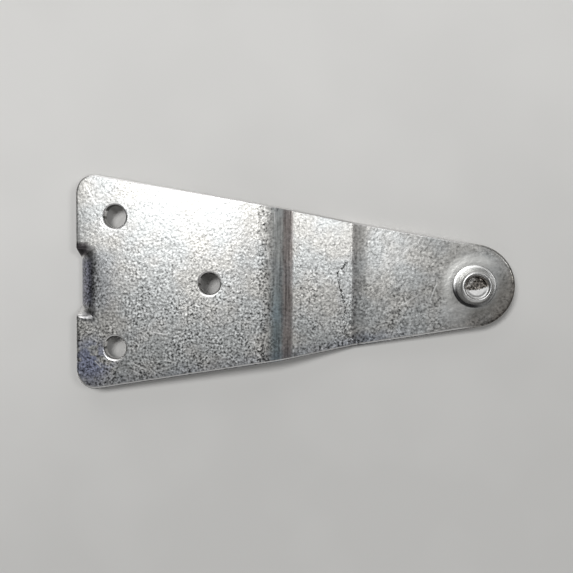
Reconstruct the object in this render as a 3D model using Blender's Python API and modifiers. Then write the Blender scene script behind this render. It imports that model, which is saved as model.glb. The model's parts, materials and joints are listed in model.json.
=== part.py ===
"""Refrigerator door hinge: a joggled, tapered steel plate with a turned-down lip and a riveted hollow pin.

The origin is on the mounting face, midway between the two screw holes at the wide end. +X runs along
the plate to the pin, +Y across it, and +Z out of the mounting face, the way that the pin stands.
"""
import math

import bpy
import bmesh

MM = 0.001

# Sheet and outline of the flat blank
SHEET = 3.0 * MM
WIDE_END = 65.4 * MM
WIDE_CORNER_R = 5.5 * MM
NOSE_R = 12.1 * MM
PIN_TO_NOSE_END = 11.6 * MM

# Hole pattern, from the line through the two screw holes
EDGE_TO_SCREWS = 11.8 * MM
SCREW_SPREAD = 38.4 * MM
SCREWS_TO_CENTRE_HOLE = 28.1 * MM
SCREWS_TO_PIN = 104.3 * MM
SCREW_HOLE_R = 3.25 * MM
CENTRE_HOLE_R = 3.05 * MM

# Joggle: a wide first bend down, a ramp, and a tight second bend back to level
SCREWS_TO_JOGGLE = 41.6 * MM
JOGGLE_DROP = 7.9 * MM
RAMP_ANGLE = math.radians(20.0)
FIRST_BEND_R = 30.0 * MM
SECOND_BEND_R = 0.9 * MM

# Lip pressed down in the middle of the wide edge, with a twisted flare at each end
LIP_WIDTH = 13.4 * MM
LIP_FLARE = 3.9 * MM
LIP_LENGTH = 6.3 * MM
LIP_BEND_R = 3.3 * MM
LIP_ANGLE = math.radians(60.0)
LIP_LINE = LIP_LENGTH - EDGE_TO_SCREWS

# Pin above the nose, its shank through the plate, and the head closed on the far side
PIN_HEIGHT = 5.2 * MM
PIN_FOOT_R = 5.5 * MM
PIN_TIP_R = 4.5 * MM
PIN_EDGE_R = 0.5 * MM
COLLAR_WIDTH = 0.7 * MM
COLLAR_HEIGHT = 0.5 * MM
RIM_WIDTH = 0.5 * MM
DISH_WIDTH = 0.4 * MM
DISH_DEPTH = 0.5 * MM
HOLLOW_R = 2.3 * MM
HOLLOW_DEPTH = 2.6 * MM
SHANK_R = 3.5 * MM
HEAD_R = 5.0 * MM
HEAD_HEIGHT = 1.1 * MM
HEAD_EDGE_R = 0.6 * MM

# Clearance between the pin and the plate, and the rounding of the plate's cut edges
FIT_GAP = 0.3 * MM
EDGE_ROUND = 0.7 * MM

# How far a drill starts above the plate and runs on below it
DRILL_OVERSHOOT = 3.0 * MM

# How finely the round forms are divided
CIRCLE_STEPS = 64
NOSE_STEPS = 40
CORNER_STEPS = 10
FIRST_BEND_STEPS = 14
TIGHT_BEND_STEPS = 6
FLARE_STEPS = 6
FILLET_STEPS = 5
EDGE_STEPS = 3

MERGE = 0.01 * MM
ON_PLANE = 0.001 * MM
SMOOTH_ANGLE = math.radians(20.0)


def clear_scene():
    for obj in list(bpy.context.scene.objects):
        bpy.data.objects.remove(obj, do_unlink=True)


def add_collection(name):
    collection = bpy.data.collections.new(name)
    bpy.context.scene.collection.children.link(collection)
    return collection


def zinc_material(name, colour, roughness):
    material = bpy.data.materials.new(name)
    material.use_nodes = True
    shader = material.node_tree.nodes["Principled BSDF"]
    shader.inputs["Base Color"].default_value = (*colour, 1.0)
    shader.inputs["Roughness"].default_value = roughness
    shader.inputs["Metallic"].default_value = 1.0
    return material


def arc(centre, radius, start, end, steps):
    """Points on an arc in a plane, from the start angle to the end angle."""
    turns = [start + (end - start) * step / steps for step in range(steps + 1)]
    return [(centre[0] + radius * math.cos(a), centre[1] + radius * math.sin(a)) for a in turns]


def follow(distance, bends):
    """Where a strip bent at (start, radius, turn) lies, that far along it: (along, up)."""
    along = up = heading = travelled = 0.0
    for start, radius, turn in bends + [(distance, 0.0, 0.0)]:
        straight = min(distance, start) - travelled
        along += straight * math.cos(heading)
        up += straight * math.sin(heading)
        if distance <= start:
            break
        swept = min((distance - start) / radius, abs(turn))
        side = math.copysign(1.0, turn)
        forward = radius * math.sin(swept)
        sideways = side * radius * (1.0 - math.cos(swept))
        along += forward * math.cos(heading) - sideways * math.sin(heading)
        up += forward * math.sin(heading) + sideways * math.cos(heading)
        heading += side * swept
        travelled = start + radius * swept
    return along, up


def joggle_bends():
    """The two joggle bends of the sheet's middle layer, as distances along the blank from the screws."""
    first_radius = FIRST_BEND_R + SHEET / 2
    second_radius = SECOND_BEND_R + SHEET / 2
    half_turn = math.tan(RAMP_ANGLE / 2)
    ramp = JOGGLE_DROP / math.sin(RAMP_ANGLE) - (first_radius + second_radius) * half_turn
    second_start = SCREWS_TO_JOGGLE + first_radius * RAMP_ANGLE + ramp
    return [(SCREWS_TO_JOGGLE, first_radius, -RAMP_ANGLE), (second_start, second_radius, RAMP_ANGLE)]


def pin_on_blank():
    """Distance from the screws to the pin on the flat blank, which the joggle then shortens."""
    second_start, radius, turn = joggle_bends()[1]
    joggle_end = second_start + radius * turn
    return SCREWS_TO_PIN + joggle_end - follow(joggle_end, joggle_bends())[0]


def blank_outline():
    """The flat blank: two rounded corners, and straight sides that run tangent into the nose."""
    nose_x = pin_on_blank() + PIN_TO_NOSE_END - NOSE_R
    length = nose_x + EDGE_TO_SCREWS
    half = WIDE_END / 2
    taper = math.atan2(half, length) - math.asin(NOSE_R / math.hypot(half, length))
    side = math.pi / 2 - taper
    corner_x = WIDE_CORNER_R - EDGE_TO_SCREWS
    corner_y = half - WIDE_CORNER_R * (1.0 + math.sin(taper)) / math.cos(taper)
    nose = arc((nose_x, 0.0), NOSE_R, -side, side, NOSE_STEPS)
    upper = arc((corner_x, corner_y), WIDE_CORNER_R, side, math.pi, CORNER_STEPS)
    lower = arc((corner_x, -corner_y), WIDE_CORNER_R, math.pi, 2 * math.pi - side, CORNER_STEPS)
    return nose + upper + lower


def lip_turn(y):
    """How far the wide edge is turned down at y: all the way in the lip, fading out along each flare."""
    inside = (LIP_WIDTH / 2 + LIP_FLARE - abs(y)) / LIP_FLARE
    return LIP_ANGLE * min(max(inside, 0.0), 1.0)


def fold(x, y):
    """Where a point of the flat blank's middle layer lies on the bent plate."""
    level = -SHEET / 2
    if x < LIP_LINE:
        along, up = follow(LIP_LINE - x, [(0.0, LIP_BEND_R + SHEET / 2, -lip_turn(y))])
        return LIP_LINE - along, y, level + up
    if x > SCREWS_TO_JOGGLE:
        along, up = follow(x, joggle_bends())
        return along, y, level + up
    return x, y, level


def anywhere(middle):
    return True


def in_wide_edge(middle):
    return middle.x < LIP_LINE


def in_lip(middle):
    return middle.x < LIP_LINE and abs(middle.y) < LIP_WIDTH / 2 + LIP_FLARE


def slice_blank(bm, place, direction, where=anywhere):
    """Cut the blank along a line, so that it can bend there, in the faces whose middle lies in a region."""
    faces = [face for face in bm.faces if where(face.calc_center_median())]
    edges = {edge for face in faces for edge in face.edges}
    verts = {vert for face in faces for vert in face.verts}
    bmesh.ops.bisect_plane(bm, geom=faces + list(edges) + list(verts), dist=ON_PLANE,
                           plane_co=place, plane_no=direction)


def flat_blank(collection):
    """The blank's middle layer as one flat filled outline."""
    curve = bpy.data.curves.new("hinge_plate", "CURVE")
    curve.dimensions = "2D"
    curve.fill_mode = "BOTH"
    spline = curve.splines.new("POLY")
    points = blank_outline()
    spline.points.add(len(points) - 1)
    for point, (x, y) in zip(spline.points, points):
        point.co = (x, y, 0.0, 1.0)
    spline.use_cyclic_u = True
    outline = bpy.data.objects.new("blank_outline", curve)
    collection.objects.link(outline)
    evaluated = outline.evaluated_get(bpy.context.evaluated_depsgraph_get())
    mesh = bpy.data.meshes.new_from_object(evaluated)
    bpy.data.objects.remove(outline, do_unlink=True)
    return mesh


def slice_joggle(bm):
    for (start, radius, turn), steps in zip(joggle_bends(), (FIRST_BEND_STEPS, TIGHT_BEND_STEPS)):
        for step in range(steps + 1):
            slice_blank(bm, (start + radius * abs(turn) * step / steps, 0.0, 0.0), (1.0, 0.0, 0.0))


def slice_lip(bm):
    """Cut the flares lengthwise first, so that the bend's own cuts end with them."""
    slice_blank(bm, (LIP_LINE, 0.0, 0.0), (1.0, 0.0, 0.0))
    for step in range(FLARE_STEPS + 1):
        y = LIP_WIDTH / 2 + LIP_FLARE * step / FLARE_STEPS
        slice_blank(bm, (0.0, y, 0.0), (0.0, 1.0, 0.0), in_wide_edge)
        slice_blank(bm, (0.0, -y, 0.0), (0.0, 1.0, 0.0), in_wide_edge)
    lip_arc = (LIP_BEND_R + SHEET / 2) * LIP_ANGLE
    for step in range(TIGHT_BEND_STEPS):
        x = LIP_LINE - lip_arc * (step + 1) / TIGHT_BEND_STEPS
        slice_blank(bm, (x, 0.0, 0.0), (1.0, 0.0, 0.0), in_lip)


def bend_blank(mesh):
    """Slice the blank along its bend lines and fold it."""
    bm = bmesh.new()
    bm.from_mesh(mesh)
    bmesh.ops.remove_doubles(bm, verts=bm.verts, dist=MERGE)
    bmesh.ops.dissolve_faces(bm, faces=bm.faces)
    slice_joggle(bm)
    slice_lip(bm)
    for vert in bm.verts:
        vert.co = fold(vert.co.x, vert.co.y)
    if sum(face.normal.z for face in bm.faces) < 0.0:
        bmesh.ops.reverse_faces(bm, faces=bm.faces)
    bm.to_mesh(mesh)
    bm.free()


def add_hole_cutter(name, x, y, radius, cutters):
    """A drill long enough to pass through both the high and the low flat of the joggle."""
    depth = JOGGLE_DROP + SHEET + 2 * DRILL_OVERSHOOT
    middle = -(JOGGLE_DROP + SHEET) / 2
    bpy.ops.mesh.primitive_cylinder_add(vertices=CIRCLE_STEPS, radius=radius, depth=depth,
                                        location=(x, y, middle))
    cutter = bpy.context.object
    cutter.name = name
    for collection in list(cutter.users_collection):
        collection.objects.unlink(cutter)
    cutters.objects.link(cutter)
    cutter.hide_render = True
    cutter.display_type = "WIRE"
    return cutter


def settle(obj, material):
    """Turn an object's modifiers into plain mesh and shade its round faces smooth."""
    evaluated = obj.evaluated_get(bpy.context.evaluated_depsgraph_get())
    mesh = bpy.data.meshes.new_from_object(evaluated)
    mesh.name = obj.name
    obj.modifiers.clear()
    obj.data = mesh
    mesh.materials.clear()
    mesh.materials.append(material)
    mesh.shade_smooth()
    mesh.set_sharp_from_angle(angle=SMOOTH_ANGLE)


def build_plate(parts, cutters):
    mesh = flat_blank(parts)
    bend_blank(mesh)
    plate = bpy.data.objects.new("hinge_plate", mesh)
    parts.objects.link(plate)

    thicken = plate.modifiers.new("sheet", "SOLIDIFY")
    thicken.thickness = SHEET
    thicken.offset = 0.0
    thicken.use_even_offset = True

    holes = {
        "screw_hole_upper": (0.0, SCREW_SPREAD / 2, SCREW_HOLE_R),
        "screw_hole_lower": (0.0, -SCREW_SPREAD / 2, SCREW_HOLE_R),
        "centre_hole": (SCREWS_TO_CENTRE_HOLE, 0.0, CENTRE_HOLE_R),
        "pin_hole": (SCREWS_TO_PIN, 0.0, SHANK_R + FIT_GAP),
    }
    for name, (x, y, radius) in holes.items():
        cut = plate.modifiers.new(name, "BOOLEAN")
        cut.operation = "DIFFERENCE"
        cut.solver = "EXACT"
        cut.object = add_hole_cutter(name, x, y, radius, cutters)

    rounding = plate.modifiers.new("edge_round", "BEVEL")
    rounding.width = EDGE_ROUND
    rounding.segments = EDGE_STEPS
    rounding.limit_method = "ANGLE"
    rounding.angle_limit = SMOOTH_ANGLE
    # The clamp would narrow every rounded edge to fit the short facets of the tight bend.
    rounding.use_clamp_overlap = False
    settle(plate, zinc_material("zinc_plated_sheet", colour=(0.62, 0.64, 0.66), roughness=0.38))


def pin_profile():
    """Half section of the pin, from the hollow's floor over the rim, down the side to the head."""
    rim_r = PIN_TIP_R - PIN_EDGE_R
    inner_r = rim_r - RIM_WIDTH
    collar_r = PIN_FOOT_R + COLLAR_WIDTH
    collar_top = FIT_GAP + COLLAR_HEIGHT
    tip_z = PIN_HEIGHT - PIN_EDGE_R
    under = -SHEET - FIT_GAP
    head_low = under - HEAD_HEIGHT
    hollow = [(0.0, PIN_HEIGHT - HOLLOW_DEPTH), (HOLLOW_R, PIN_HEIGHT - HOLLOW_DEPTH),
              (inner_r - DISH_WIDTH, PIN_HEIGHT - DISH_DEPTH)]
    inner_edge = [(inner_r, PIN_HEIGHT)]
    outer_edge = arc((rim_r, tip_z), PIN_EDGE_R, math.pi / 2, 0.0, FILLET_STEPS)
    side = [(PIN_FOOT_R, collar_top)]
    collar = [(collar_r - COLLAR_HEIGHT / 2, collar_top), (collar_r, collar_top - COLLAR_HEIGHT / 2),
              (collar_r, FIT_GAP)]
    shank = [(SHANK_R, FIT_GAP), (SHANK_R, under)]
    head_centre = (HEAD_R - HEAD_EDGE_R, head_low + HEAD_EDGE_R)
    head = [(HEAD_R, under)] + arc(head_centre, HEAD_EDGE_R, 0.0, -math.pi / 2, FILLET_STEPS)
    return hollow + inner_edge + outer_edge + side + collar + shank + head + [(0.0, head_low)]


def build_pin(parts):
    points = pin_profile()
    mesh = bpy.data.meshes.new("hinge_pin")
    edges = [(index, index + 1) for index in range(len(points) - 1)]
    mesh.from_pydata([(r, 0.0, z) for r, z in points], edges, [])
    pin = bpy.data.objects.new("hinge_pin", mesh)
    pin.location = (SCREWS_TO_PIN, 0.0, -JOGGLE_DROP)
    parts.objects.link(pin)
    turn = pin.modifiers.new("turned", "SCREW")
    turn.steps = CIRCLE_STEPS
    turn.render_steps = CIRCLE_STEPS
    turn.use_merge_vertices = True
    turn.merge_threshold = MERGE
    settle(pin, zinc_material("zinc_plated_pin", colour=(0.66, 0.67, 0.68), roughness=0.30))


def main():
    clear_scene()
    parts = add_collection("refrigerator_door_hinge")
    cutters = add_collection("cutters")
    build_plate(parts, cutters)
    build_pin(parts)


main()
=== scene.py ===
# %% [markdown]
# A refrigerator door hinge: a tapered steel plate, pressed from 3 mm sheet and plated with bright zinc, with
# a hollow pin riveted into its nose. The plate and the pin come packed as a fixed frame. This lesson gives
# them their looks. The plate keeps its shape and gets a pebbled, plated finish. The pin is modelled again by
# hand, because its hollow has a torn floor that plain turning can't give.

# %% Load the frame
import json
import math

import bmesh
import bpy
from mathutils import Matrix, Vector

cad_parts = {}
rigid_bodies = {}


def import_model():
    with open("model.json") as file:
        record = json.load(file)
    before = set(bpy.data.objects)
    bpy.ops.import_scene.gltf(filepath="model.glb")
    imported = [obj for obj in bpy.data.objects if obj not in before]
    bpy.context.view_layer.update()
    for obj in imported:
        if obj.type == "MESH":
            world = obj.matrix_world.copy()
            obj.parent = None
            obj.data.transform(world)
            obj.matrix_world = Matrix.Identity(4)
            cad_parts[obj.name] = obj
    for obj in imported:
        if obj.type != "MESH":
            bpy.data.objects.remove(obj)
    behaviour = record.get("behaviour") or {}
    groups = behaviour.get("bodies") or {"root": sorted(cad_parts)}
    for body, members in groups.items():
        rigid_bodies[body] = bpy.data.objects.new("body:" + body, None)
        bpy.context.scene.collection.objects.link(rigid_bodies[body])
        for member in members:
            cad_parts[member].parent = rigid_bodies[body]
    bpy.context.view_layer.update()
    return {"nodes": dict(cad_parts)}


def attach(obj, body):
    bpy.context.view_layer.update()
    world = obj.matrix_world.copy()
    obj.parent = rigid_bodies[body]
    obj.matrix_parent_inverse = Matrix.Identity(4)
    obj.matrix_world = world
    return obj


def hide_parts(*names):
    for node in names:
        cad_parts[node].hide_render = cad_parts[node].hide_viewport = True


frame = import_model()
MM = 0.001

# %% [markdown]
# Operators act on whatever is selected, and a freshly loaded frame is selected all over. A small helper that
# selects one object and nothing else saves many surprises later. A second one applies a modifier, so that
# the finished mesh is real geometry.

# %% Helpers for operators
def only(obj):
    """Select this object and nothing else."""
    bpy.ops.object.select_all(action="DESELECT")
    obj.select_set(True)
    bpy.context.view_layer.objects.active = obj


def finish_modifier(obj, kind, **settings):
    """Add one modifier, set it up and apply it."""
    only(obj)
    modifier = obj.modifiers.new(kind.lower(), kind)
    for name, value in settings.items():
        setattr(modifier, name, value)
    bpy.ops.object.modifier_apply(modifier=modifier.name)


print("helpers ready: only, finish_modifier")

# %% [markdown]
# The photographer stood over the part and looked almost straight down. The camera's place was worked out
# from the sheet that the part lies on. Two axes say how it is turned: its right and the way it looks. Its up
# is at right angles to both. The lens is given for a 36 mm wide sensor. The photograph is square, so the
# same angle holds both ways. The Standard view shows every colour as it is written.

# %% Camera
CAMERA_PLACE = Vector((70.50, 9.07, 198.61)) * MM
CAMERA_RIGHT = Vector((0.99492, 0.00895, -0.10031))
CAMERA_LOOK = Vector((-0.09980, -0.04569, -0.99396))
LENS = 43.98
SENSOR = 36.0
NEAREST, FARTHEST = 0.01, 20.0
PICTURE = 573
PICTURE_CENTRE = (286.5, 285.0)

data = bpy.data.cameras.new("camera")
camera = bpy.data.objects.new("camera", data)
bpy.context.scene.collection.objects.link(camera)
up = CAMERA_RIGHT.cross(CAMERA_LOOK).normalized()
turn = Matrix((CAMERA_RIGHT, up, -CAMERA_LOOK)).transposed()
camera.matrix_world = Matrix.Translation(CAMERA_PLACE) @ turn.to_4x4()
data.lens, data.sensor_width = LENS, SENSOR
data.clip_start, data.clip_end = NEAREST, FARTHEST
data.shift_x = (PICTURE / 2 - PICTURE_CENTRE[0]) / PICTURE
data.shift_y = (PICTURE_CENTRE[1] - PICTURE / 2) / PICTURE
bpy.context.scene.camera = camera
bpy.context.scene.view_settings.view_transform = "Standard"
print("camera at", [round(v / MM, 1) for v in camera.location], "mm, lens", data.lens)

# %% [markdown]
# Materials here are built from nodes in code. One helper adds a node, sets its options, and either links or
# fills each input. The others do arithmetic, so a formula reads much as it would on paper. A value may be a
# number or the socket of another node.

# %% Helpers for materials
def add(tree, kind, inputs=None, **options):
    """Add a node. An input takes a socket to link, or a value to set."""
    node = tree.nodes.new("ShaderNode" + kind)
    for name, value in options.items():
        setattr(node, name, value)
    for key, value in (inputs or {}).items():
        if isinstance(value, bpy.types.NodeSocket):
            tree.links.new(value, node.inputs[key])
        else:
            node.inputs[key].default_value = value
    return node


def calc(tree, operation, *values):
    """Arithmetic on numbers. MULTIPLY_ADD gives the first times the second plus the third."""
    return add(tree, "Math", dict(enumerate(values)), operation=operation).outputs[0]


def times(tree, first, *others):
    """All the values multiplied together."""
    for other in others:
        first = calc(tree, "MULTIPLY", first, other)
    return first


def vector(tree, operation, *values):
    """Arithmetic on vectors whose result is a vector."""
    return add(tree, "VectorMath", dict(enumerate(values)), operation=operation).outputs["Vector"]


def measure(tree, operation, *values):
    """Arithmetic on vectors whose result is a number."""
    return add(tree, "VectorMath", dict(enumerate(values)), operation=operation).outputs["Value"]


def scaled(tree, place, factor):
    return add(tree, "VectorMath", {0: place, "Scale": factor}, operation="SCALE").outputs["Vector"]


print("helpers ready: add, calc, times, vector, measure, scaled")

# %% [markdown]
# Four more helpers do most of the painting. A ramp turns a distance into a share from 0 to 1 with soft ends.
# A band is such a share between two places. A blend mixes or multiplies two colours by a share. Noise gives
# cloudy patterns of a chosen size. Every material here starts from the object's own coordinates. Two numbers
# kept together in the cells below are where a ramp starts and ends, and four add its low and high values.
# For a band, three numbers are its start, its end and its softness.

# %% Helpers for patterns
def ramp(tree, value, start, end, low=0.0, high=1.0):
    """Rise softly from low to high as value goes from start to end."""
    inputs = {"Value": value, "From Min": start, "From Max": end, "To Min": low, "To Max": high}
    return add(tree, "MapRange", inputs, interpolation_type="SMOOTHSTEP").outputs["Result"]


def band(tree, value, start, end, soft):
    """1 between start and end, falling to 0 over the soft distance on both sides."""
    rise = ramp(tree, value, start - soft / 2, start + soft / 2)
    fall = ramp(tree, value, end - soft / 2, end + soft / 2, 1.0, 0.0)
    return times(tree, rise, fall)


def blend_colour(tree, share, first, second, mode="MIX"):
    """The first colour where the share is 0, and the second, mixed or multiplied in, where it is 1."""
    inputs = {"Factor": share, "A": first, "B": second}
    return add(tree, "Mix", inputs, data_type="RGBA", blend_type=mode).outputs["Result"]


def noise(tree, place, size, detail=2.0, rough=0.5):
    """Cloudy noise whose blobs are about that many millimetres across, from 0 to 1."""
    inputs = {"Vector": place, "Scale": 1 / size, "Detail": detail, "Roughness": rough}
    return add(tree, "TexNoise", inputs).outputs["Fac"]


def new_material(name):
    """An empty material, its tree, its surface shader and the object's own coordinates in millimetres."""
    material = bpy.data.materials.new(name)
    material.use_nodes = True
    tree = material.node_tree
    shader = tree.nodes["Principled BSDF"]
    place = add(tree, "TexCoord").outputs["Object"]
    return material, tree, shader, scaled(tree, place, 1 / MM)


print("helpers ready: ramp, band, blend_colour, noise, new_material")

# %% [markdown]
# The plate's shape is right already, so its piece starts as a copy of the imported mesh. That mesh is loose
# triangles, which is how it is stored. Merging them lets the rounded edges shade as one smooth surface.
# Weighted normals then keep the wide flats flat right up to their rounded edges.

# %% Plate
MERGE_DISTANCE = 0.001 * MM
PLATE_SMOOTH = math.radians(50.0)
FLAT_WEIGHT = 90


def copy_of(name, piece_name):
    """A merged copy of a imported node, in its place."""
    only(frame["nodes"][name])
    bpy.ops.object.duplicate()
    piece = bpy.context.object
    piece.name = piece.data.name = piece_name
    piece.parent = None
    for key in list(piece.keys()):
        del piece[key]
    bpy.ops.object.mode_set(mode="EDIT")
    bpy.ops.mesh.select_all(action="SELECT")
    bpy.ops.mesh.remove_doubles(threshold=MERGE_DISTANCE)
    bpy.ops.object.mode_set(mode="OBJECT")
    piece.data.materials.clear()
    return piece


plate = copy_of("hinge_plate", "plated_plate")
bpy.ops.object.shade_smooth_by_angle(angle=PLATE_SMOOTH)
finish_modifier(plate, "WEIGHTED_NORMAL", weight=FLAT_WEIGHT, keep_sharp=True)
print("plate:", len(plate.data.vertices), "corners,", len(plate.data.polygons), "faces")

# %% [markdown]
# The hinge lies on a table. It stands on the tip of its lip and on the lowest point of its far half, which
# may be the plate or the pin's head. The tilt is found from both meshes: take the lowest corner on each
# side, tilt the floor through both, and look again until the two corners stay the same.

# %% Floor
FLOOR_SIZE = 1.6
TILT_ROUNDS = 5
FAR_HALF = 40.0 * MM
UNDER_MIDDLE = 50.0 * MM

corners = [vert.co for name in frame["nodes"] for vert in frame["nodes"][name].data.vertices]
tilt = 0.0
for _ in range(TILT_ROUNDS):
    floor_up = Vector((math.sin(tilt), 0.0, math.cos(tilt)))
    lip_tip = min((c for c in corners if c.x < 0.0), key=floor_up.dot)
    far_corner = min((c for c in corners if c.x > FAR_HALF), key=floor_up.dot)
    tilt = math.atan2(lip_tip.z - far_corner.z, far_corner.x - lip_tip.x)
under_plate = Vector((UNDER_MIDDLE, 0.0, 0.0))
under_plate -= floor_up * (under_plate - lip_tip).dot(floor_up)
bpy.ops.mesh.primitive_plane_add(size=FLOOR_SIZE, location=under_plate, rotation=(0.0, tilt, 0.0))
floor = bpy.context.object
floor.name = "floor"
print("floor tilted by", round(math.degrees(tilt), 2), "degrees")

# %% [markdown]
# The floor is a plain pale sheet with faint clouds in its colour. Painted light makes it a little lighter
# toward the back and the left, where most of the light comes from. Its underside is clear, so a camera
# below still sees the part.

# %% Floor material
PALE = (0.760, 0.754, 0.736, 1.0)
PALE_SHADE = (0.610, 0.605, 0.590, 1.0)
CLOUD, CLOUD_EDGES, CLOUD_STRENGTH = 40.0, (0.3, 0.7), 0.1
BACK_LEFT, SHADE_REACH = (-0.3, 1.0, 0.0), 90.0
FLOOR_ROUGH, FLOOR_SHINE = 0.8, 0.1

material, tree, shader, in_mm = new_material("pale_sheet")
cloud = ramp(tree, noise(tree, in_mm, CLOUD), *CLOUD_EDGES, -CLOUD_STRENGTH, CLOUD_STRENGTH)
back_left = measure(tree, "DOT_PRODUCT", in_mm, BACK_LEFT)
share = calc(tree, "ADD", cloud, ramp(tree, back_left, -SHADE_REACH, SHADE_REACH))
tree.links.new(blend_colour(tree, share, PALE_SHADE, PALE), shader.inputs["Base Color"])
shader.inputs["Roughness"].default_value = FLOOR_ROUGH
shader.inputs["Specular IOR Level"].default_value = FLOOR_SHINE
clear = add(tree, "BsdfTransparent").outputs[0]
below = add(tree, "NewGeometry").outputs["Backfacing"]
seen = add(tree, "MixShader", {0: below, 1: shader.outputs[0], 2: clear}).outputs[0]
tree.links.new(seen, tree.nodes["Material Output"].inputs["Surface"])
floor.data.materials.append(material)
print("floor material from", len(tree.nodes), "nodes")

# %% [markdown]
# Bright metal shows the room more than its own colour, so the light matters as much as the material. The
# photograph tells where the lamps were. The spot of light under each hole lies to the right and below it, so
# the main lamp stood up and to the left. The ramp is bright again, so there was a second one far to the
# right.

# %% Lamps
AIM = Vector((0.052, 0.0, -0.004))


def add_lamp(name, toward, distance, width, depth, light_on_part):
    """An oval lamp in that direction, whose light falls on the part with that strength."""
    lamp = bpy.data.lights.new(name, "AREA")
    lamp.shape = "ELLIPSE"
    lamp.size, lamp.size_y = width, depth
    lamp.energy = light_on_part * math.pi * distance ** 2
    obj = bpy.data.objects.new(name, lamp)
    bpy.context.scene.collection.objects.link(obj)
    direction = Vector(toward).normalized()
    obj.location = AIM + direction * distance
    obj.rotation_euler = direction.to_track_quat("Z", "Y").to_euler()
    return obj


main_lamp = add_lamp("main_lamp", (-0.215, 0.30, 1.0), 1.0, 0.42, 0.24, 1.65)
side_lamp = add_lamp("side_lamp", (0.77, 0.21, 1.0), 1.2, 0.30, 0.30, 0.54)
print("lamps:", [(lamp.name, round(lamp.data.energy, 2)) for lamp in (main_lamp, side_lamp)])

# %% [markdown]
# The rest of the room is what the bends, the edges and the pin mirror. It is dim overhead and has a light
# wall behind, brightest to the left, and another in front. Both sides are dark. The camera sees a plain pale
# backdrop instead. So does the metal where it looks near the horizon, so that it shows that backdrop too.

# %% World
ROOM_TOP, ROOM_SIDE = 0.12, 0.04
BACK_WALL, FRONT_WALL = 0.70, 0.60
WALL_LEFT = (0.15, -0.25, 1.0, 2.4)
OVERHEAD, BACK, FRONT = (0.2, 0.9), (0.60, 0.90), (0.50, 0.90)
NEAR_HORIZON = (0.20, 0.08)
BACKDROP = (0.60, 0.60, 0.585, 1.0)
WHITE = (1.0, 1.0, 1.0, 1.0)

world = bpy.data.worlds.new("room")
bpy.context.scene.world = world
world.use_nodes = True
tree = world.node_tree
toward = add(tree, "TexCoord").outputs["Generated"]
way = add(tree, "SeparateXYZ", {0: toward}).outputs
level = ramp(tree, way["Z"], *OVERHEAD, ROOM_SIDE, ROOM_TOP)
back = ramp(tree, way["Y"], *BACK, 0.0, BACK_WALL)
back = times(tree, back, ramp(tree, way["X"], *WALL_LEFT))
front = ramp(tree, times(tree, way["Y"], -1.0), *FRONT, 0.0, FRONT_WALL)
level = calc(tree, "MAXIMUM", level, calc(tree, "MAXIMUM", back, front))
rays = add(tree, "LightPath").outputs
mirrored = calc(tree, "MAXIMUM", rays["Is Glossy Ray"], rays["Is Transmission Ray"])
mirrored = times(tree, mirrored, ramp(tree, way["Z"], *NEAR_HORIZON))
shown = calc(tree, "MAXIMUM", rays["Is Camera Ray"], mirrored)
room = add(tree, "Background", {"Color": WHITE, "Strength": level}).outputs[0]
plain = add(tree, "Background", {"Color": BACKDROP, "Strength": 1.0}).outputs[0]
seen = add(tree, "MixShader", {0: shown, 1: room, 2: plain}).outputs[0]
tree.links.new(seen, tree.nodes["World Output"].inputs["Surface"])
print("room from", len(tree.nodes), "nodes")

# %% [markdown]
# The sheet is pebbled, like orange peel, and then plated with zinc. Each tiny pebble throws the lamp's light
# a little aside, so the metal sparkles and its highlight spreads wide. A bump from a height tilts the
# surface that way. Larger tilts, as in a bend, come from heights that grow with the square of a distance,
# because their slope then grows evenly. These helpers give such heights, in millimetres.

# %% Helpers for relief
def above(tree, value, start):
    """How far the value is past the start, or 0 before it."""
    return calc(tree, "MAXIMUM", calc(tree, "SUBTRACT", value, start), 0.0)


def below_by(tree, value, start):
    """How far the value still is before the start, or 0 past it."""
    return calc(tree, "MAXIMUM", calc(tree, "SUBTRACT", start, value), 0.0)


def square(tree, value, factor):
    return times(tree, value, value, factor)


def sag(tree, place, start, full, end, slope):
    """Height of a surface whose slope grows from start to full and is gone again at the end."""
    first = calc(tree, "MINIMUM", above(tree, place, start), full - start)
    last = below_by(tree, calc(tree, "MAXIMUM", place, full), end)
    return calc(tree, "ADD", square(tree, first, -slope / (2 * (full - start))),
                square(tree, last, slope / (2 * (end - full))))


print("helpers ready: above, below_by, square, sag")

# %% [markdown]
# All patterns on the sheet start from a few distances: along the plate, across it, and from the pin's axis.
# One more says how far a point lies toward the lower right of the pin, where the plating is worn. The press
# tool has smoothed the pebbles in the first bend, so a share called smooth marks that place.

# %% Places on the sheet
BEND_START, BEND_END = 41.6, 52.6
SMOOTH_IN, SMOOTH_OUT = (1.5, 7.0), 1.0
PIN_X = 104.3
LOWER_RIGHT = (0.7, -0.7, 0.0)
IN_PLANE = (1.0, 1.0, 0.0)

material, tree, shader, in_mm = new_material("zinc_plated_sheet")
split = add(tree, "SeparateXYZ", {0: in_mm}).outputs
along, across = split["X"], split["Y"]
beside = calc(tree, "ABSOLUTE", across)
flat = vector(tree, "MULTIPLY", in_mm, IN_PLANE)
from_pin = vector(tree, "SUBTRACT", flat, (PIN_X, 0.0, 0.0))
reach = measure(tree, "LENGTH", from_pin)
aside = measure(tree, "DOT_PRODUCT", from_pin, LOWER_RIGHT)
smooth = times(tree, ramp(tree, along, BEND_START + SMOOTH_IN[0], BEND_START + SMOOTH_IN[1]),
               ramp(tree, along, BEND_END - SMOOTH_OUT, BEND_END, 1.0, 0.0))
print("places on the sheet from", len(tree.nodes), "nodes")

# %% [markdown]
# The relief adds up from the pebbles, longer waves, and soft tilts: at the start and the end of the first
# bend, at the foot of the ramp, over the lip, and on the upper left of a ring round the pin, where the
# riveting pulled the metal down. The wide end bows down by a degree or so, and that brings the lamp's
# highlight to its place.

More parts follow.
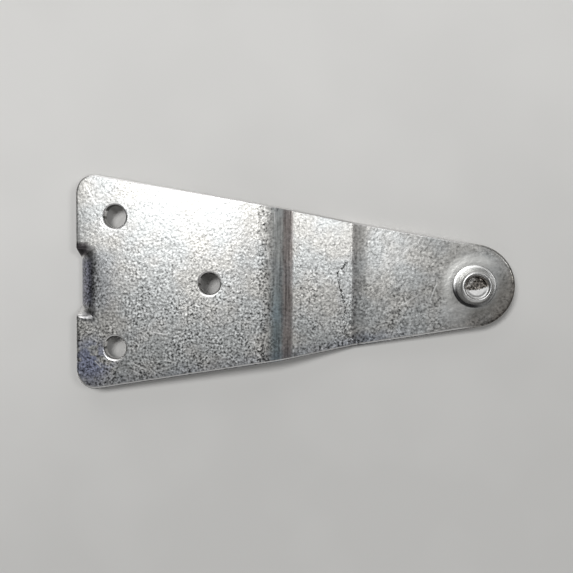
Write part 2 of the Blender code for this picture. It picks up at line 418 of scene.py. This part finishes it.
# %% Relief of the sheet
PEBBLE, PEBBLE_HEIGHT, PEBBLE_PRESSED = 0.82, 0.030, 0.6
WAVE, WAVE_HEIGHT = 2.6, 0.03
FREE_END, FREE_END_SAG = 10.0, 0.0006
SAG_BEFORE_BEND = (27.0, 40.0, 45.0, 0.075)
LIFT_AFTER_BEND = (45.5, 50.8, 52.9, -0.10)
FOOT_START, FOOT_END, FOOT_SLOPE = 69.2, 73.8, 0.20
LIP_START, LIP_HALF, LIP_SOFT, LIP_SAG = -3.6, 6.8, 1.5, 0.013
RING = (6.3, 7.5, 10.2, 0.060)
RING_FADE = (1.0, -4.0)

pebbles = noise(tree, in_mm, PEBBLE, 1.5)
pebble_height = calc(tree, "MULTIPLY_ADD", smooth, -PEBBLE_PRESSED * PEBBLE_HEIGHT, PEBBLE_HEIGHT)
relief = times(tree, pebbles, pebble_height)
relief = calc(tree, "MULTIPLY_ADD", noise(tree, in_mm, WAVE, 1.0), WAVE_HEIGHT, relief)
foot = below_by(tree, calc(tree, "MAXIMUM", along, FOOT_START), FOOT_END)
at_lip = ramp(tree, beside, LIP_HALF - LIP_SOFT, LIP_HALF + LIP_SOFT, 1.0, 0.0)
tilts = [sag(tree, along, *SAG_BEFORE_BEND),
         sag(tree, along, *LIFT_AFTER_BEND),
         square(tree, below_by(tree, along, FREE_END), -FREE_END_SAG),
         square(tree, foot, FOOT_SLOPE / (2 * (FOOT_END - FOOT_START))),
         times(tree, square(tree, below_by(tree, along, LIP_START), -LIP_SAG), at_lip),
         times(tree, sag(tree, reach, *RING), ramp(tree, aside, *RING_FADE))]
for tilted in tilts:
    relief = calc(tree, "ADD", relief, tilted)
print("relief from", len(tilts), "tilts and two noises")

# %% [markdown]
# Just before the foot of the ramp the plating has cracked. The crack is drawn as a chain of straight
# strokes, and a point belongs to it when its distance to the nearest stroke is small. Noise moves the points
# a little first, so that the line wanders, and fades parts of it. The same helper draws the scratches later.

# %% Crack
CRACK = [(67.6, 6.3), (65.0, 3.7), (65.0, 1.3), (66.5, -3.7), (67.2, -7.5), (66.9, -11.9), (67.6, -14.9),
         (69.3, -15.8), (71.7, -17.8)]
CRACK_WIDTH, CRACK_DEPTH = 0.65, 0.10
CRACK_BREAKS, CRACK_SHOWS = 2.2, (0.36, 0.56)
STROKE_CORE, STROKE_SIDE = 0.15, 0.5
WANDER_SCALE, WANDER_DETAIL, WANDER = 0.8, 3.0, (1.8, 1.8, 0.0)
HALF = (0.5, 0.5, 0.5)


def stroke(tree, place, points, width):
    """1 on a line drawn through the points, in millimetres, and 0 from half its width on."""
    found = 0.0
    for start, end in zip(points, points[1:]):
        first = Vector((*start, 0.0))
        run = Vector((*end, 0.0)) - first
        offset = vector(tree, "SUBTRACT", place, first)
        walked = measure(tree, "DOT_PRODUCT", offset, run.normalized())
        walked = calc(tree, "MINIMUM", calc(tree, "MAXIMUM", walked, 0.0), run.length)
        gap = measure(tree, "DISTANCE", offset, scaled(tree, run.normalized(), walked))
        on_it = ramp(tree, gap, STROKE_CORE * width, STROKE_SIDE * width, 1.0, 0.0)
        found = calc(tree, "MAXIMUM", found, on_it)
    return found


wander = add(tree, "TexNoise", {"Vector": flat, "Scale": WANDER_SCALE, "Detail": WANDER_DETAIL})
wander = vector(tree, "SUBTRACT", wander.outputs["Color"], HALF)
drawn = vector(tree, "MULTIPLY_ADD", wander, WANDER, flat)
breaks = ramp(tree, noise(tree, flat, CRACK_BREAKS), *CRACK_SHOWS)
crack = times(tree, stroke(tree, drawn, CRACK, CRACK_WIDTH), breaks)
relief = calc(tree, "MULTIPLY_ADD", crack, -CRACK_DEPTH, relief)
bump = add(tree, "Bump", {"Strength": 1.0, "Distance": MM, "Height": relief}).outputs[0]
tree.links.new(bump, shader.inputs["Normal"])
print("crack of", len(CRACK) - 1, "strokes")

# %% [markdown]
# Zinc plating isn't one grey. It has fine light and dark flecks, larger blotches, and dark wormy lines where
# the blotches are light. The flecks stand out most on the lower side, on the lip and just before the first
# bend, and least on the upper side, in the bend and near the pin. In the bend the press tool has left
# streaks that run along it. All this goes into one grey value.

# %% Grain of the plating
FLECK, FLECK_CONTRAST = 0.64, 3.2
LESS_IN_BEND, MORE_ON_LIP, MORE_AT_LEAD_IN = 0.60, 0.9, 0.5
ACROSS_PLATE, PAST_BEND, BY_PIN = (-22.0, 20.0, 1.40, 0.56), (52.0, 56.0, 1.0, 0.92), (7.5, 12.0, 0.35, 1.0)
PATCH, PATCHY = 6.0, (0.35, 0.65, 0.75, 1.25)
BLOTCH, BLOTCH_STRENGTH = 3.5, 0.35
WORM, WORM_WIDTH, WORM_DEPTH = 1.6, 0.022, 0.40
STREAK, STREAK_STRETCH, STREAK_STRENGTH = 0.6, (1.0, 0.06, 0.3), 2.1
WORM_SHOWS = (0.42, 0.56)
LEAD_IN, PAINTED_LEAD_IN_SHADE, LIP_BEND = (42.0, 46.0, 3.0), 0.15, (-3.5, -5.5)
OTHER_PLACE = (31.0, 17.0, 5.0)

apart = vector(tree, "ADD", in_mm, OTHER_PLACE)
blotches = noise(tree, apart, BLOTCH)
lead_in = band(tree, along, *LEAD_IN)
bent_down = times(tree, at_lip, ramp(tree, along, *LIP_BEND))
contrast = calc(tree, "MULTIPLY_ADD", smooth, -LESS_IN_BEND * FLECK_CONTRAST, FLECK_CONTRAST)
contrast = times(tree, contrast,
                 ramp(tree, across, *ACROSS_PLATE),
                 ramp(tree, noise(tree, apart, PATCH, 1.0), *PATCHY),
                 ramp(tree, along, *PAST_BEND),
                 ramp(tree, reach, *BY_PIN))
contrast = calc(tree, "MULTIPLY_ADD", bent_down, MORE_ON_LIP * FLECK_CONTRAST, contrast)
contrast = calc(tree, "MULTIPLY_ADD", lead_in, MORE_AT_LEAD_IN * FLECK_CONTRAST, contrast)
value = times(tree, calc(tree, "SUBTRACT", noise(tree, apart, FLECK), 0.5), contrast)
value = calc(tree, "MULTIPLY_ADD", calc(tree, "SUBTRACT", blotches, 0.5), BLOTCH_STRENGTH, value)
# Painted shade: the grey is darker at the lead-in, where the sheet starts to curve into the first bend.
value = calc(tree, "ADD", value, calc(tree, "MULTIPLY_ADD", lead_in, -PAINTED_LEAD_IN_SHADE, 1.0))
worms = calc(tree, "ABSOLUTE", calc(tree, "SUBTRACT", noise(tree, apart, WORM), 0.5))
worms = times(tree, ramp(tree, worms, 0.0, WORM_WIDTH, 1.0, 0.0), ramp(tree, blotches, *WORM_SHOWS))
value = calc(tree, "MULTIPLY_ADD", worms, -WORM_DEPTH, value)
pressed = vector(tree, "MULTIPLY", in_mm, STREAK_STRETCH)
streaks = times(tree, calc(tree, "SUBTRACT", noise(tree, pressed, STREAK), 0.5), smooth)
value = calc(tree, "MULTIPLY_ADD", streaks, STREAK_STRENGTH, value)
print("grain from", len(tree.nodes), "nodes so far")

# %% [markdown]
# Painted light and shade change the plating's mean shade slowly along the plate. It is painted lighter
# toward the first bend, darker on the ramp, and lighter again on the nose, most of all on its upper side.
# The grey then becomes a colour, with a faint drift between warm and cold.

# %% Painted light along the plate, and the hue of the plating
SHADE_MIDDLE, SHADE_LEAST = 0.42, 0.05
PAINTED_LIGHT_ALONG = [(26.0, 48.0, 1.28), (50.5, 53.5, 0.77), (70.0, 78.0, 1.18)]
UPPER_NOSE, UPPER_NOSE_PAINTED_LIGHT = (81.5, 8.5, -7.9), (13.0, 3.0, 1.0, 1.32)
DRIFT, DRIFT_WARM, DRIFT_COLD = 9.0, (0.50, 0.62), (0.50, 0.38)
ZINC = (1.0, 1.004, 0.985)
WARM, COLD = (1.0, 0.985, 0.965), (0.965, 0.985, 1.0)


def tint(tree, colour, share, shade):
    """Multiply the colour by a shade wherever the share is 1."""
    return blend_colour(tree, share, colour, (*shade, 1.0), "MULTIPLY")


def cover(tree, colour, share, shade):
    """Paint the colour over with a shade wherever the share is 1."""
    return blend_colour(tree, share, colour, (*shade, 1.0))


for start, end, gain in PAINTED_LIGHT_ALONG:
    value = times(tree, value, ramp(tree, along, start, end, 1.0, gain))
upper = measure(tree, "DISTANCE", in_mm, UPPER_NOSE)
value = times(tree, value, ramp(tree, upper, *UPPER_NOSE_PAINTED_LIGHT), SHADE_MIDDLE)
value = calc(tree, "MAXIMUM", value, SHADE_LEAST)
grey = add(tree, "CombineColor", {0: value, 1: value, 2: value}).outputs[0]
hue = noise(tree, apart, DRIFT, 1.0)
colour = tint(tree, grey, 1.0, ZINC)
colour = tint(tree, colour, ramp(tree, hue, *DRIFT_WARM), WARM)
colour = tint(tree, colour, ramp(tree, hue, *DRIFT_COLD), COLD)
print("middle shade", SHADE_MIDDLE, "with", len(PAINTED_LIGHT_ALONG), "changes along the plate")

# %% [markdown]
# The first bend has painted reflections: a bluish stripe and a darker brownish one. The foot of the ramp has
# a thin dark stripe of painted shade. Noise added to the distance makes their sides jagged. Painted shade
# also makes the lower left corner dark and bluish, darkens the flat just before the lip, makes the lip a
# little violet, and follows the lower edge as a dark cold rim.

# %% Painted reflections and shade in the bends, at the lip and along the lower edge
JAG, JAG_HEIGHT = 1.2, 1.2
BLUE_STRIPE, BLUE_ACROSS, PAINTED_BLUE_REFLECTION = (46.2, 49.2, 2.4), (6.0, -8.0, 0.25, 1.0), (0.78, 0.92, 1.0)
BROWN_STRIPE, PAINTED_BROWN_REFLECTION = (49.4, 52.0, 1.0), (0.86, 0.79, 0.785)
FOOT_STRIPE, FOOT_SHADE = (68.9, 70.5, 0.5), (0.76, 0.75, 0.75)
CORNER, CORNER_REACH, CORNER_PATCHY = (-7.5, -23.5, 0.0), (9.5, 2.0), (0.33, 0.50)
BESIDE_LIP, BEFORE_LIP, LIP_RUN = (11.0, 6.0), (3.0, -3.5), (-6.2, -7.8)
PAINTED_CORNER_SHADE, NEAR_LIP_SHADE, PAINTED_LIP_SHADE = (0.60, 0.65, 0.90), (0.80, 0.80, 0.82), (0.68, 0.68, 0.82)
EDGE_AT_START, EDGE_TAPER, EDGE_RAGGED, EDGE_REACH = 30.6, 0.178, 4.0, (4.6, 1.0)
EDGE_STRONGER, EDGE_FADES = (60.0, 71.0, 0.5, 1.0), (72.0, 90.0, 1.0, 0.15)
PAINTED_LOW_EDGE_SHADE = (0.68, 0.71, 0.79)

jagged = calc(tree, "SUBTRACT", along, JAG_HEIGHT / 2)
jagged = calc(tree, "MULTIPLY_ADD", noise(tree, in_mm, JAG, 3.0), JAG_HEIGHT, jagged)
blue = times(tree, ramp(tree, across, *BLUE_ACROSS), band(tree, jagged, *BLUE_STRIPE))
colour = tint(tree, colour, blue, PAINTED_BLUE_REFLECTION)
colour = tint(tree, colour, band(tree, jagged, *BROWN_STRIPE), PAINTED_BROWN_REFLECTION)
colour = tint(tree, colour, band(tree, jagged, *FOOT_STRIPE), FOOT_SHADE)
corner = measure(tree, "DISTANCE", flat, CORNER)
corner = times(tree, ramp(tree, corner, *CORNER_REACH), ramp(tree, blotches, *CORNER_PATCHY))
colour = tint(tree, colour, corner, PAINTED_CORNER_SHADE)
near_lip = times(tree, ramp(tree, beside, *BESIDE_LIP), ramp(tree, along, *BEFORE_LIP))
colour = tint(tree, colour, near_lip, NEAR_LIP_SHADE)
colour = tint(tree, colour, times(tree, at_lip, ramp(tree, along, *LIP_RUN)), PAINTED_LIP_SHADE)
from_edge = calc(tree, "MULTIPLY_ADD", along, -EDGE_TAPER, calc(tree, "ADD", across, EDGE_AT_START))
from_edge = calc(tree, "MULTIPLY_ADD", calc(tree, "SUBTRACT", blotches, 0.5), EDGE_RAGGED, from_edge)
painted_low_edge_shade = times(tree, ramp(tree, from_edge, *EDGE_REACH), ramp(tree, along, *EDGE_STRONGER),
                 ramp(tree, along, *EDGE_FADES))
colour = tint(tree, colour, painted_low_edge_shade, PAINTED_LOW_EDGE_SHADE)
print("painted_reflections_and_shade: two stripes in the bend, one at the foot, a corner, the lip and the lower edge")

# %% [markdown]
# The walls of the holes are cut metal, painted darker, and this also stands for painted shade in the holes.
# Round the pin, painted light makes a light ring on the upper left and a light patch on the lower left, and
# a painted shadow of the pin makes the lower right dark and a little brown. Painted shade darkens the outer
# rim of the nose as well.

# %% Holes and the nose
HOLES = [(0.0, 19.2, 3.25), (0.0, -19.2, 3.25), (28.1, 0.0, 3.05)]
HOLE_SOFT, HOLE_WALL = (0.25, 0.05), (0.28, 0.28, 0.24)
PIN_SHADOW_REACH, PIN_SHADOW_SIDE, PAINTED_PIN_SHADOW = (5.0, 7.5), (0.0, 6.0), (0.62, 0.59, 0.56)
HALO_REACH, HALO_SIDE, HALO_SHARE, PAINTED_HALO_LIGHT = (10.0, 8.0), (2.5, -3.5), 0.80, (0.70, 0.70, 0.68)
LOW_LEFT, LOW_LEFT_REACH, LOW_LEFT_PAINTED_LIGHT = (99.0, -8.6, 0.0), (6.0, 2.0, 0.0, 0.45), (0.66, 0.66, 0.65)
RIM_REACH, RIM_START, PAINTED_RIM_SHADE = (9.8, 11.4), (PIN_X, PIN_X + 6.0), (0.62, 0.61, 0.60)

for x, y, radius in HOLES:
    away = measure(tree, "DISTANCE", flat, (x, y, 0.0))
    colour = tint(tree, colour, ramp(tree, away, radius + HOLE_SOFT[0], radius + HOLE_SOFT[1]), HOLE_WALL)
painted_pin_shadow = times(tree, ramp(tree, reach, *PIN_SHADOW_REACH), ramp(tree, aside, *PIN_SHADOW_SIDE))
colour = tint(tree, colour, painted_pin_shadow, PAINTED_PIN_SHADOW)
painted_halo = times(tree, ramp(tree, reach, *HALO_REACH), ramp(tree, aside, *HALO_SIDE), HALO_SHARE)
colour = cover(tree, colour, painted_halo, PAINTED_HALO_LIGHT)
low_left = measure(tree, "DISTANCE", flat, LOW_LEFT)
colour = cover(tree, colour, ramp(tree, low_left, *LOW_LEFT_REACH), LOW_LEFT_PAINTED_LIGHT)
painted_rim_shade = times(tree, ramp(tree, reach, *RIM_REACH), ramp(tree, along, *RIM_START))
colour = tint(tree, colour, painted_rim_shade, PAINTED_RIM_SHADE)
print("holes:", len(HOLES), "and the nose from", len(tree.nodes), "nodes so far")

# %% [markdown]
# Handling has polished the long edges, and painted highlights on them add the light they catch as thin
# lines.
# A surface's own direction says where an edge starts to round over: its Y is 0 on the flats, and nears 1 on
# one cut side and -1 on the other. The upper edge is polished and painted light, and the lower one is
# polished and painted light at the turn, with painted shade below it. The notch above the lip is painted in
# deep shade, and painted shade darkens the flare below the lip.

# %% Edges
EDGES_FADE = (106.0, 100.0)
UPPER_TURN, UPPER_SHARE, POLISH_AND_UPPER_HIGHLIGHT = (0.04, 0.30), 0.85, (0.84, 0.83, 0.82)
LOWER_TURN, POLISH_AND_LOWER_HIGHLIGHT = (0.06, 0.52, 0.10), (0.93, 0.92, 0.91)
LOWER_SIDE, PAINTED_UNDER_EDGE_SHADE = (0.50, 0.75), (0.34, 0.34, 0.35)
NOTCH, NOTCH_START, NOTCH_SHADE = (7.6, 11.6, 1.2), (-7.0, -9.0), (0.16, 0.15, 0.16)
FLARE, FLARE_OUTER, FLARE_INNER = (-11.6, -8.6, 0.8), (-10.8, -9.4), (-5.5, -6.5)
FLARE_SHADE = (0.45, 0.45, 0.46)

facing = add(tree, "SeparateXYZ", {0: add(tree, "NewGeometry").outputs["Normal"]}).outputs["Y"]
front = times(tree, facing, -1.0)
on_edges = ramp(tree, along, *EDGES_FADE)
upper_edge = times(tree, ramp(tree, facing, *UPPER_TURN), on_edges, UPPER_SHARE)
colour = cover(tree, colour, upper_edge, POLISH_AND_UPPER_HIGHLIGHT)
colour = cover(tree, colour, times(tree, band(tree, front, *LOWER_TURN), on_edges), POLISH_AND_LOWER_HIGHLIGHT)
colour = tint(tree, colour, times(tree, ramp(tree, front, *LOWER_SIDE), on_edges), PAINTED_UNDER_EDGE_SHADE)
notch = times(tree, ramp(tree, along, *NOTCH_START), band(tree, across, *NOTCH))
colour = tint(tree, colour, notch, NOTCH_SHADE)
flare = times(tree, band(tree, across, *FLARE), ramp(tree, along, *FLARE_OUTER),
              ramp(tree, along, *FLARE_INNER))
colour = tint(tree, colour, flare, FLARE_SHADE)
print("edges done,", len(tree.nodes), "nodes so far")

# %% [markdown]
# Last come the marks of use: bright scratches, a few short folds in the plating, and the crack again, now as
# a dark line. They use the same strokes as the crack's relief.

# %% Scratches, folds and the finished plating
SCRATCHES = [[(-7.2, -16.2), (-5.4, -17.3)], [(-6.0, -23.3), (-4.2, -25.0)], [(11.5, -14.3), (15.7, -15.1)],
             [(15.1, -22.5), (18.4, -23.3)], [(5.5, -25.9), (7.6, -26.8)], [(46.8, 20.7), (47.1, 17.3)],
             [(83.8, -5.8), (88.3, -2.8)], [(91.8, -4.2), (93.7, 0.8)], [(-8.6, 28.4), (-5.6, 22.6)],
             [(4.9, -23.3), (7.0, -24.4), (9.4, -25.5)], [(80.4, 12.4), (82.8, 14.4)]]
FOLDS = [[(58.0, -3.6), (59.9, -0.1)], [(73.6, 10.2), (76.6, 8.4)], [(66.1, -16.3), (61.3, -18.5)]]
SCRATCH_WIDTH, SCRATCH_SHARE, SCRATCH_LIGHT = 0.55, 0.7, (0.85, 0.85, 0.84)
FOLD_WIDTH, FOLD_SHARE, CRACK_SHARE, CRACK_DARK = 0.6, 0.6, 0.8, (0.30, 0.30, 0.30)
PLATE_ROUGH, PLATE_ROUGH_PRESSED = 0.345, 0.08

scratched = 0.0
for points in SCRATCHES:
    scratched = calc(tree, "MAXIMUM", scratched, stroke(tree, flat, points, SCRATCH_WIDTH))
colour = cover(tree, colour, times(tree, scratched, SCRATCH_SHARE), SCRATCH_LIGHT)
folded = crack
for points in FOLDS:
    folded = calc(tree, "MAXIMUM", folded, times(tree, stroke(tree, drawn, points, FOLD_WIDTH), FOLD_SHARE))
colour = tint(tree, colour, times(tree, folded, CRACK_SHARE), CRACK_DARK)
tree.links.new(colour, shader.inputs["Base Color"])
shader.inputs["Metallic"].default_value = 1.0
plate_rough = calc(tree, "MULTIPLY_ADD", smooth, -PLATE_ROUGH_PRESSED, PLATE_ROUGH)
tree.links.new(plate_rough, shader.inputs["Roughness"])
print("marks:", len(SCRATCHES), "scratches and", len(FOLDS), "folds; plating from", len(tree.nodes), "nodes")

# %% [markdown]
# The plate is done. Three calls finish it: it gets its material, joins the body it moves with, and the
# imported node it stands for is hidden.

# %% Plate finished
plate.data.materials.append(material)
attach(plate, "root")
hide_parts("hinge_plate")
print("plate finished:", plate.name, "with", material.name)

# %% [markdown]
# The pin is a short tube, riveted into the nose and closed on the far side by a flat head. By hand it would
# be drawn from a ring of points: extrude the ring, move it to the next height, scale it to the next radius,
# and go on up the pin. A table of radii and heights gives the same walk here. The heights start at the nose.

# %% Pin body
PIN_AXIS = Vector((PIN_X, 0.0, -7.9)) * MM
PIN_SIDES = 96
HEAD_STATIONS = [(3.6, -4.40), (4.5, -4.38), (4.80, -4.22), (4.97, -3.98), (5.0, -3.8), (5.0, -3.3)]
SHANK_STATIONS = [(3.5, -3.3), (3.5, 0.3)]
COLLAR_STATIONS = [(6.19, 0.30), (6.19, 0.40), (6.15, 0.52), (6.05, 0.61), (5.92, 0.65), (5.62, 0.66),
                   (5.48, 0.68), (5.42, 0.76), (5.40, 0.9)]
SIDE_STATIONS = [(5.22, 1.8), (4.97, 2.8), (4.70, 3.8), (4.54, 4.35)]
RIM_STATIONS = [(4.46, 4.60), (4.36, 4.82), (4.23, 4.99), (4.08, 5.11), (3.92, 5.18), (3.78, 5.19),
                (3.64, 5.13), (3.54, 5.02), (3.48, 4.88)]


def ring_to(radius, height):
    """Extrude the selected ring of points and bring it to that radius and height on the pin's axis."""
    bpy.ops.mesh.extrude_edges_move()
    bm = bmesh.from_edit_mesh(pin.data)
    ring = [vert for vert in bm.verts if vert.select]
    middle = sum((vert.co for vert in ring), Vector()) / len(ring)
    now = (ring[0].co - middle).length
    place = PIN_AXIS + Vector((0.0, 0.0, height * MM))
    bpy.ops.transform.translate(value=place - middle)
    scale = radius * MM / now
    bpy.ops.transform.resize(value=(scale, scale, 1.0), center_override=place)


bpy.ops.object.select_all(action="DESELECT")
start_radius, start_height = HEAD_STATIONS[0]
bpy.ops.mesh.primitive_circle_add(vertices=PIN_SIDES, radius=start_radius * MM, fill_type="NGON",
                                  location=PIN_AXIS + Vector((0.0, 0.0, start_height * MM)))
pin = bpy.context.object
pin.name = pin.data.name = "plated_pin"
bpy.ops.object.transform_apply(location=True)
bpy.ops.object.mode_set(mode="EDIT")
bpy.ops.mesh.select_mode(type="EDGE")
bpy.ops.mesh.select_all(action="SELECT")
for radius, height in HEAD_STATIONS[1:] + SHANK_STATIONS + COLLAR_STATIONS + SIDE_STATIONS + RIM_STATIONS:
    ring_to(radius, height)
bpy.ops.object.mode_set(mode="OBJECT")
print("pin body:", len(pin.data.vertices), "corners")

# %% [markdown]
# The mouth of the pin is dished, with a small ledge inside its rim. Its floor slants: it is highest on the
# lower side, where it is smooth, and lowest on the upper side, where the metal has torn. The last ring is
# turned about a point on the lower side and then filled with a grid of faces.

# %% Pin floor
LEDGE = [(3.42, 4.76), (3.30, 4.66), (3.10, 4.60), (2.80, 4.57)]
FLOOR_SLANT = math.radians(9.0)
FLOOR_SIDE_SLANT = math.radians(3.0)
LOW_SIDE = PIN_AXIS + Vector((1.6, -2.2, 4.57)) * MM

bpy.ops.object.mode_set(mode="EDIT")
for radius, height in LEDGE:
    ring_to(radius, height)
bpy.ops.mesh.extrude_edges_move()
bpy.ops.transform.rotate(value=FLOOR_SLANT, orient_axis="X", center_override=LOW_SIDE)
bpy.ops.transform.rotate(value=FLOOR_SIDE_SLANT, orient_axis="Y", center_override=LOW_SIDE)
bpy.ops.mesh.fill_grid(span=PIN_SIDES // 4)
bpy.ops.object.mode_set(mode="OBJECT")
print("pin with its floor:", len(pin.data.polygons), "faces")

# %% [markdown]
# The torn part of the floor lies above a bowed, ragged line. Its faces are pushed down as one region, which
# leaves a small step round them, and their points are then scattered. The scatter has a fixed seed, so it
# comes out the same each time. Last, all faces are turned to point outwards.

# %% Torn part of the floor
FLOOR_RADIUS = 2.78
TEAR_AT, TEAR_TILT, TEAR_BOW = -0.90, 0.16, 0.065
TEETH, TEETH_WAVES = 0.15, 7.0
TEAR_DEPTH, TEAR_ROUGH, TEAR_EVEN, TEAR_SEED = 0.45, 0.24, 0.3, 7
PIN_SMOOTH = math.radians(35.0)


def is_torn(face):
    """Whether the face lies on the floor and above the bowed line."""
    middle = (face.calc_center_median() - PIN_AXIS) / MM
    line = TEAR_AT + TEAR_TILT * middle.x + TEAR_BOW * middle.x * middle.x
    return middle.xy.length < FLOOR_RADIUS and middle.y > line + TEETH * math.sin(TEETH_WAVES * middle.x)


bpy.ops.object.mode_set(mode="EDIT")
bpy.ops.mesh.select_mode(type="FACE")
bm = bmesh.from_edit_mesh(pin.data)
torn = [face.index for face in bm.faces if face.select and is_torn(face)]
bpy.ops.mesh.select_all(action="DESELECT")
bm.faces.ensure_lookup_table()
for index in torn:
    bm.faces[index].select = True
bmesh.update_edit_mesh(pin.data)
bpy.ops.mesh.extrude_region_move(TRANSFORM_OT_translate={"value": (0.0, 0.0, -TEAR_DEPTH * MM)})
bpy.ops.transform.vertex_random(offset=TEAR_ROUGH * MM, uniform=TEAR_EVEN, normal=0.0, seed=TEAR_SEED)
bpy.ops.mesh.select_all(action="SELECT")
bpy.ops.mesh.normals_make_consistent(inside=False)
bpy.ops.object.mode_set(mode="OBJECT")
only(pin)
bpy.ops.object.shade_smooth_by_angle(angle=PIN_SMOOTH)
print("pin:", len(pin.data.vertices), "corners,", len(pin.data.polygons), "faces,", len(torn), "torn")

# %% [markdown]
# The pin has the same zinc, but its side is smooth, so it needs only faint grain. Painted shade darkens it
# inside the mouth and on its right side, and the torn metal is dark and brownish with light crumbs. The
# colour follows the same bowed line as the tear, here with noise for its teeth.

# %% Pin material
SIDE_DARK, SIDE_LIGHT = (0.50, 0.50, 0.495, 1.0), (0.80, 0.80, 0.79, 1.0)
TORN_DARK, TORN_LIGHT = (0.07, 0.064, 0.058, 1.0), (0.24, 0.222, 0.20, 1.0)
MOUTH, RIGHT_SIDE, PAINTED_MOUTH_AND_RIGHT_SHADE = (3.15, 3.40, 1.0, 0.0), (1.0, 4.0), (0.66, 0.66, 0.66)
SIDE_GRAIN, CRUMB, CRUMB_SHOWS = 0.6, 0.45, (0.35, 0.7)
TOOTH, TOOTH_HEIGHT, TOOTH_SOFT = 0.8, 0.9, 0.15

material, tree, shader, in_mm = new_material("zinc_plated_pin")
from_axis = vector(tree, "SUBTRACT", in_mm, PIN_AXIS / MM)
split = add(tree, "SeparateXYZ", {0: from_axis}).outputs
around = vector(tree, "MULTIPLY", from_axis, IN_PLANE)
reach = measure(tree, "LENGTH", around)
inside = ramp(tree, reach, *MOUTH)
base = blend_colour(tree, noise(tree, in_mm, SIDE_GRAIN), SIDE_DARK, SIDE_LIGHT)
base = tint(tree, base, calc(tree, "MAXIMUM", inside, ramp(tree, split["X"], *RIGHT_SIDE)), PAINTED_MOUTH_AND_RIGHT_SHADE)
line = calc(tree, "MULTIPLY_ADD", split["X"], TEAR_BOW, TEAR_TILT)
line = calc(tree, "MULTIPLY_ADD", split["X"], line, TEAR_AT)
past_line = calc(tree, "SUBTRACT", calc(tree, "SUBTRACT", split["Y"], line), TOOTH_HEIGHT / 2)
past_line = calc(tree, "MULTIPLY_ADD", noise(tree, in_mm, TOOTH), TOOTH_HEIGHT, past_line)
crumbs = ramp(tree, noise(tree, in_mm, CRUMB), *CRUMB_SHOWS)
torn_metal = blend_colour(tree, crumbs, TORN_DARK, TORN_LIGHT)
torn_share = times(tree, inside, ramp(tree, past_line, -TOOTH_SOFT, TOOTH_SOFT))
base = blend_colour(tree, torn_share, base, torn_metal)
print("pin material with", len(tree.nodes), "nodes so far")

# %% [markdown]
# Three more painted shades follow the pin's round shape. A painted highlight lights the side toward the main
# lamp, painted shade darkens the crease at the collar on the lower left, and a dark line of painted shade
# runs along the lower side of the floor.

# %% Pin finished
TOWARD_LAMP, LAMP_REACH, LAMP_HEIGHTS = (-0.78, 0.62, 0.0), (1.0, 4.0), (0.63, 4.4, 0.06)
PAINTED_LAMP_HIGHLIGHT = (0.96, 0.96, 0.95)
TOWARD_LOW, LOW_REACH, CREASE, PAINTED_CREASE_SHADE = (-0.60, -0.80, 0.0), (2.0, 5.0), (1.3, 0.7), (0.06, 0.06, 0.062)
GROOVE, GROOVE_SIDE, PAINTED_GROOVE_SHADE = (2.45, 2.95, 0.30), (-0.6, -1.8), (0.42, 0.42, 0.42)
DENT, DENT_HEIGHT = 1.1, 0.03
PIN_ROUGH, MOUTH_ROUGHER = 0.36, 0.12

lamp_side = ramp(tree, measure(tree, "DOT_PRODUCT", around, TOWARD_LAMP), *LAMP_REACH)
base = cover(tree, base, times(tree, band(tree, split["Z"], *LAMP_HEIGHTS), lamp_side), PAINTED_LAMP_HIGHLIGHT)
low_side = ramp(tree, measure(tree, "DOT_PRODUCT", around, TOWARD_LOW), *LOW_REACH)
base = cover(tree, base, times(tree, ramp(tree, split["Z"], *CREASE), low_side), PAINTED_CREASE_SHADE)
painted_groove_shade = times(tree, band(tree, reach, *GROOVE), ramp(tree, split["Y"], *GROOVE_SIDE))
base = tint(tree, base, painted_groove_shade, PAINTED_GROOVE_SHADE)
tree.links.new(base, shader.inputs["Base Color"])
dents = times(tree, noise(tree, in_mm, DENT, 1.0), DENT_HEIGHT)
bump = add(tree, "Bump", {"Strength": 1.0, "Distance": MM, "Height": dents}).outputs[0]
tree.links.new(bump, shader.inputs["Normal"])
shader.inputs["Metallic"].default_value = 1.0
tree.links.new(calc(tree, "MULTIPLY_ADD", inside, MOUTH_ROUGHER, PIN_ROUGH), shader.inputs["Roughness"])
pin.data.materials.append(material)
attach(pin, "root")
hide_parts("hinge_pin")
print("pin finished:", pin.name, "with", len(tree.nodes), "nodes")
